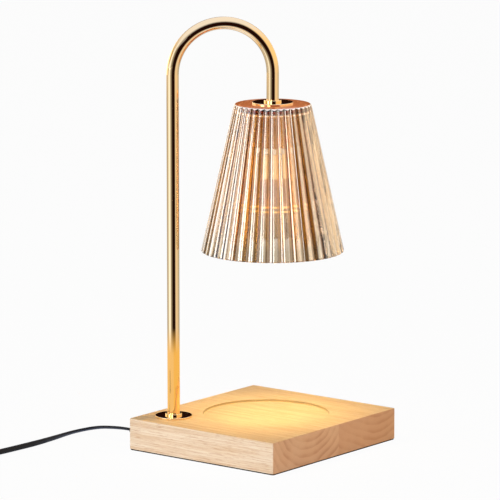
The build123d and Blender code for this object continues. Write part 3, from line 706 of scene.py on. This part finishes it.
# ---------------------------------------------------------------- studio
def looked_at(tree):
    """One for rays that see a thing, also in metal or through glass, and nought for those that light it."""
    path = add_node(tree, "LightPath")
    seen = calculate(tree, "ADD", path.outputs["Is Camera Ray"], path.outputs["Is Glossy Ray"])
    return calculate(tree, "ADD", seen, path.outputs["Is Transmission Ray"], clamp=True)


def empty_material(name):
    material = bpy.data.materials.new(name)
    material.use_nodes = True
    material.node_tree.nodes.clear()
    return material, material.node_tree


FLOOR_SIZE = 40.0
FLOOR_GREY = (0.8, 0.8, 0.8, 1)
FLOOR_WHITENESS = 0.965  # how near to plain white the floor looks where it is seen


def pale_floor():
    """A floor that is lit as its own grey, but nearly white where it is seen, also through glass."""
    material, tree = empty_material("pale_floor")
    lit = add_node(tree, "BsdfDiffuse", {"Color": FLOOR_GREY})
    plain = add_node(tree, "Emission", {"Color": (1, 1, 1, 1), "Strength": 1.0})
    share = calculate(tree, "MULTIPLY", looked_at(tree), FLOOR_WHITENESS)
    mixed = add_node(tree, "MixShader", {0: share, 1: lit.outputs[0], 2: plain.outputs[0]})
    add_node(tree, "OutputMaterial", {0: mixed.outputs[0]})
    mesh = bmesh.new()
    bmesh.ops.create_grid(mesh, x_segments=1, y_segments=1, size=0.5)
    bmesh.ops.scale(mesh, vec=(FLOOR_SIZE, FLOOR_SIZE, 1), verts=mesh.verts)
    floor = finished("floor", mesh, material)
    floor.visible_glossy = False


DOME_RADIUS = 4.0
ROOM_STRENGTH = 2.0  # multiplies every light of the room
PALE_WALL = (0.28, 0.29, 0.32, 1)
DAYLIGHT = (0.6, 0.72, 1.0, 1)
LIT_WALL = (0.46, 0.43, 0.43, 1)
DARK_ROOM = (0.008, 0.002, 0.001, 1)
WARM_SIDES = [(-90, (0.34, 0.28, 0.20, 1)), (44, (0.58, 0.49, 0.36, 1))]
EDGE_LIGHT = (1.0, 0.92, 0.8, 1)
STRIP_LIGHT = (3.3, 3.1, 2.8, 1)
CLEAR_LIGHT = (0.5, 0.58, 0.85, 1)


def room_material(name, radius, strips):
    """A plain studio for metal and glass to mirror, with or without its two bright strips.

    Pale walls all round, daylight on the left, a lit wall on the right and a dark room behind the camera.
    """
    material, tree = empty_material(name)
    place = object_place(tree)

    def along(direction):
        both = {0: place, 1: direction}
        return add_node(tree, "VectorMath", both, operation="DOT_PRODUCT").outputs["Value"]

    to_right = along((cos(VIEW_AZIMUTH), sin(VIEW_AZIMUTH), 0))
    to_camera = along((sin(VIEW_AZIMUTH), -cos(VIEW_AZIMUTH), 0))
    around = rescale(tree, calculate(tree, "ARCTAN2", to_right, to_camera), -pi, pi)
    height = calculate(tree, "DIVIDE", along((0, 0, 1)), radius)
    rise = calculate(tree, "MULTIPLY", calculate(tree, "ARCSINE", height), 180 / pi)

    def turned(stops):
        """A level by degrees round from the camera, to the right."""
        return ramp(tree, around, [(0.5 + angle / 360, value) for angle, value in stops])

    def within(*masks):
        first, *others = masks
        for other in others:
            first = calculate(tree, "MULTIPLY", first, other)
        return first

    daylight = turned([(-104, 0.0), (-78, 1.0), (-56, 1.0), (-40, 0.0)])
    lit_side = turned([(38, 0.0), (46, 1.0), (76, 1.0), (112, 0.0)])
    camera_side = turned([(-46, 0.0), (-8, 1.0), (33, 1.0), (46, 0.0)])
    level = blend_colours(tree, daylight, PALE_WALL, DAYLIGHT)
    level = blend_colours(tree, lit_side, level, LIT_WALL)
    level = blend_colours(tree, camera_side, level, DARK_ROOM)
    warm_share = turned([(-76, 1.0), (-68, 0.0), (44, 0.0), (52, 1.0)])
    warm = within(warm_share, rescale(tree, rise, -7.0, 8.0))
    level = blend_colours(tree, warm, level, turned(WARM_SIDES))
    light_top = rescale(tree, rise, 20.0, 16.0)
    edge_side = turned([(-116, 1.0), (-108, 0.0)])
    edge = within(edge_side, rescale(tree, rise, -4.0, -0.5), light_top)
    level = blend_colours(tree, edge, level, EDGE_LIGHT)
    if strips:
        left_strip = [(-71, 0.0), (-68, 1.0), (-52, 1.0), (-49, 0.0)]
        right_strip = [(-31, 0.0), (-28, 1.0), (-16, 1.0), (-13, 0.0)]
        strip = within(turned(left_strip + right_strip), rescale(tree, rise, 3.0, 9.0), light_top)
        level = blend_colours(tree, strip, level, STRIP_LIGHT)
    above = rescale(tree, rise, 22.0, 48.0)
    below = rescale(tree, rise, -34.0, -55.0)
    colour = blend_colours(tree, calculate(tree, "ADD", above, below, clamp=True), level, CLEAR_LIGHT)
    behind = turned([(-164, 1.0), (-158, 0.0), (158, 0.0), (164, 1.0)])
    wall = within(behind, rescale(tree, rise, 2.0, 5.0), rescale(tree, rise, 24.0, 18.0))
    colour = blend_colours(tree, wall, colour, DARK_ROOM)
    shone = add_node(tree, "Emission", {"Color": colour, "Strength": ROOM_STRENGTH})
    add_node(tree, "OutputMaterial", {0: shone.outputs[0]})
    return material


def mirrored_only(thing):
    """Makes a stage piece that shows in reflections and nowhere else."""
    for kind in ("camera", "diffuse", "transmission", "volume_scatter", "shadow"):
        setattr(thing, "visible_" + kind, False)


def studio_dome():
    """What polished metal and glass reflect: bright sides, and a dark room behind the camera."""
    mesh = bmesh.new()
    bmesh.ops.create_uvsphere(mesh, u_segments=64, v_segments=32, radius=DOME_RADIUS)
    material = room_material("studio_dome", DOME_RADIUS, True)
    mirrored_only(finished("studio_dome", mesh, material, sharp=60))


SCREEN_RADIUS = 0.05
SCREEN_SIDES = (-100, 10)  # degrees round from the camera
SCREEN_RISE = (-10, 34)  # degrees up
ARCH_FOOT = mm(*POLE_AXIS, 318)


def arch_screen():
    """Hides the bright strips from the foot of the arch, which would mirror them as a hard-edged patch."""
    mesh = bmesh.new()
    bmesh.ops.create_uvsphere(mesh, u_segments=72, v_segments=90, radius=SCREEN_RADIUS)
    right = Vector((cos(VIEW_AZIMUTH), sin(VIEW_AZIMUTH), 0))
    forward = towards(VIEW_AZIMUTH, 0)

    def is_outside(face):
        middle = face.calc_center_median()
        side = degrees(atan2(middle.dot(right), middle.dot(forward)))
        rise = degrees(atan2(middle.z, hypot(middle.x, middle.y)))
        beside = SCREEN_SIDES[0] < side < SCREEN_SIDES[1]
        return not (beside and SCREEN_RISE[0] < rise < SCREEN_RISE[1])

    unwanted = [face for face in mesh.faces if is_outside(face)]
    bmesh.ops.delete(mesh, geom=unwanted, context="FACES")
    material = room_material("arch_screen", SCREEN_RADIUS, False)
    screen = finished("arch_screen", mesh, material, sharp=60)
    screen.location = ARCH_FOOT
    mirrored_only(screen)


WARM_RING_RADIUS = 0.22
WARM_RING_FOOT = mm(*POLE_AXIS, -30)
WARM_RING_HEIGHT = 90 * MM


def low_warm_ring():
    """Warm lamplight low around the lamp, which the foot of the pole reflects."""
    material, tree = empty_material("low_warm_ring")
    place = object_place(tree)
    height = add_node(tree, "SeparateXYZ", {0: place}).outputs["Z"]
    to_right = (cos(VIEW_AZIMUTH), sin(VIEW_AZIMUTH), 0)
    across = add_node(tree, "VectorMath", {0: place, 1: to_right}, operation="DOT_PRODUCT").outputs["Value"]
    side = rescale(tree, across, -0.08, -0.04)
    lit = blend_colours(tree, side, paint(255, 230, 184), paint(255, 220, 144))
    warm = add_node(tree, "Emission", {"Color": lit, "Strength": 1.0})
    clear = add_node(tree, "BsdfTransparent")
    fade = rescale(tree, height, 0.034, 0.056)
    mixed = add_node(tree, "MixShader", {0: fade, 1: warm.outputs[0], 2: clear.outputs[0]})
    add_node(tree, "OutputMaterial", {0: mixed.outputs[0]})
    mesh = bmesh.new()
    bmesh.ops.create_circle(mesh, cap_ends=False, radius=WARM_RING_RADIUS, segments=96)
    bmesh.ops.translate(mesh, vec=WARM_RING_FOOT, verts=mesh.verts)
    grown = bmesh.ops.extrude_edge_only(mesh, edges=mesh.edges)["geom"]
    raised = [piece for piece in grown if isinstance(piece, bmesh.types.BMVert)]
    bmesh.ops.translate(mesh, vec=(0, 0, WARM_RING_HEIGHT), verts=raised)
    mirrored_only(finished("low_warm_ring", mesh, material))


def soft_light(name, azimuth, elevation, distance, width, height, power):
    """A soft box that lights the lamp and isn't mirrored in it."""
    data = bpy.data.lights.new(name, "AREA")
    data.shape = "RECTANGLE"
    data.size, data.size_y = width, height
    data.energy = power
    lamp = bpy.data.objects.new(name, data)
    lamp.visible_glossy = False
    bpy.context.scene.collection.objects.link(lamp)
    aim(lamp, VIEW_TARGET + towards(radians(azimuth), radians(elevation)) * distance, VIEW_TARGET)


WORLD_LIGHT = 0.13


def set_world():
    """White where it is seen, and dim where it lights the lamp."""
    world = bpy.data.worlds.new("studio")
    bpy.context.scene.world = world
    world.use_nodes = True
    tree = world.node_tree
    tree.nodes.clear()
    strength = rescale(tree, looked_at(tree), 0.0, 1.0, WORLD_LIGHT, 1.0)
    sky = add_node(tree, "Background", {"Color": (1, 1, 1, 1), "Strength": strength})
    add_node(tree, "OutputWorld", {0: sky.outputs[0]})


def glow_light(name, kind, place, power, colour, size, **settings):
    """Light that the bulb sends down, from a lamp that isn't seen itself."""
    data = bpy.data.lights.new(name, kind)
    data.energy = power
    data.color = colour
    data.shadow_soft_size = size
    for key, value in settings.items():
        setattr(data, key, value)
    lamp = bpy.data.objects.new(name, data)
    bpy.context.scene.collection.objects.link(lamp)
    aim(lamp, place, place - Vector((0, 0, 1)))
    lamp.visible_transmission = False
    lamp.visible_glossy = False


GLOW_DROP = 4 * MM  # how far under the bulb's lens its light starts


def set_studio():
    pale_floor()
    set_world()
    soft_light("key", azimuth=-25, elevation=14, distance=2.2, width=1.5, height=1.0, power=35)
    soft_light("fill", azimuth=82, elevation=12, distance=2.6, width=1.4, height=1.0, power=37)
    studio_dome()
    arch_screen()
    low_warm_ring()
    low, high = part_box("bulb_lens")
    front = (low + high) / 2
    front.z = low.z - GLOW_DROP
    cone = {"spot_size": radians(80), "spot_blend": 1.0}
    glow_light("bulb_beam", "SPOT", front, power=0.92, colour=(1.0, 0.91, 0.54), size=0.02, **cone)
    glow_light("bulb_glow", "POINT", front, power=0.68, colour=(1.0, 0.57, 0.13), size=0.03)


# ---------------------------------------------------------------- finishes
def dress():
    """Gives every piece of the frame its finish, and returns the finishes by name."""
    black_plastic = paint(26, 26, 28), paint(14, 14, 16)
    pad_tones = paint(14, 13, 12), paint(5, 5, 5)
    wheel_tones = paint(40, 40, 42), paint(24, 24, 26)
    tie_tones = paint(24, 24, 25), paint(10, 10, 11)
    steel_tones = paint(214, 214, 216), paint(176, 177, 180)
    cord_tones = paint(24, 24, 26), paint(12, 12, 14)
    ceramic_tones = paint(238, 234, 224), paint(222, 216, 204)
    brass_tones = paint(232, 208, 150), paint(206, 178, 118)
    finishes = {
        "wood": wood(),
        "gold": gold(),
        "black_pad": moulded(
            "black_pad", *pad_tones, 0.75, 0.9, grain_scale=900, grain_depth=0.0001, specular=0.2
        ),
        "cord_black": moulded(
            "cord_black", *cord_tones, 0.42, 0.58, grain_scale=1800, grain_depth=0.00002, specular=0.25
        ),
        "steel": plain_metal("steel", *steel_tones, 0.22, 0.4),
        "ceramic": moulded("ceramic", *ceramic_tones, 0.35, 0.6, grain_scale=1500),
        "bulb_reflector": lit_reflector(),
        "bulb_lens": glowing("bulb_lens", paint(255, 236, 190), paint(255, 222, 160), 3.0, 0.25),
        "dimmer_black": moulded("dimmer_black", *black_plastic, 0.38, 0.55),
        "wheel_black": moulded("wheel_black", *wheel_tones, 0.45, 0.6, grain_scale=1500),
        "plug_black": moulded("plug_black", *black_plastic, 0.4, 0.58),
        "blade_metal": plain_metal("blade_metal", *brass_tones, 0.2, 0.35),
        "tie_black": moulded("tie_black", *tie_tones, 0.6, 0.8, grain_scale=700, grain_depth=0.0002),
    }
    # The bulb's ceramic base is given a faint emission: a painted glow, as the ceramic itself gives no light.
    lit_ceramic = glowing("ceramic_painted_glow", paint(250, 230, 192), paint(240, 214, 168), 0.1, 0.5)
    for name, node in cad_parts.items():
        for slot in node.material_slots:
            packed = slot.material.name.split(".")[0] if slot.material else ""
            if packed in finishes:
                slot.material = lit_ceramic if name == "bulb_base" else finishes[packed]
    return finishes


place_camera()
finishes = dress()
shade = ribbed_shade(amber_glass())
shade.visible_shadow = False
lay_cords(finishes["cord_black"])
set_studio()
bpy.context.scene.view_settings.view_transform = "Standard"

bpy.context.view_layer.update()
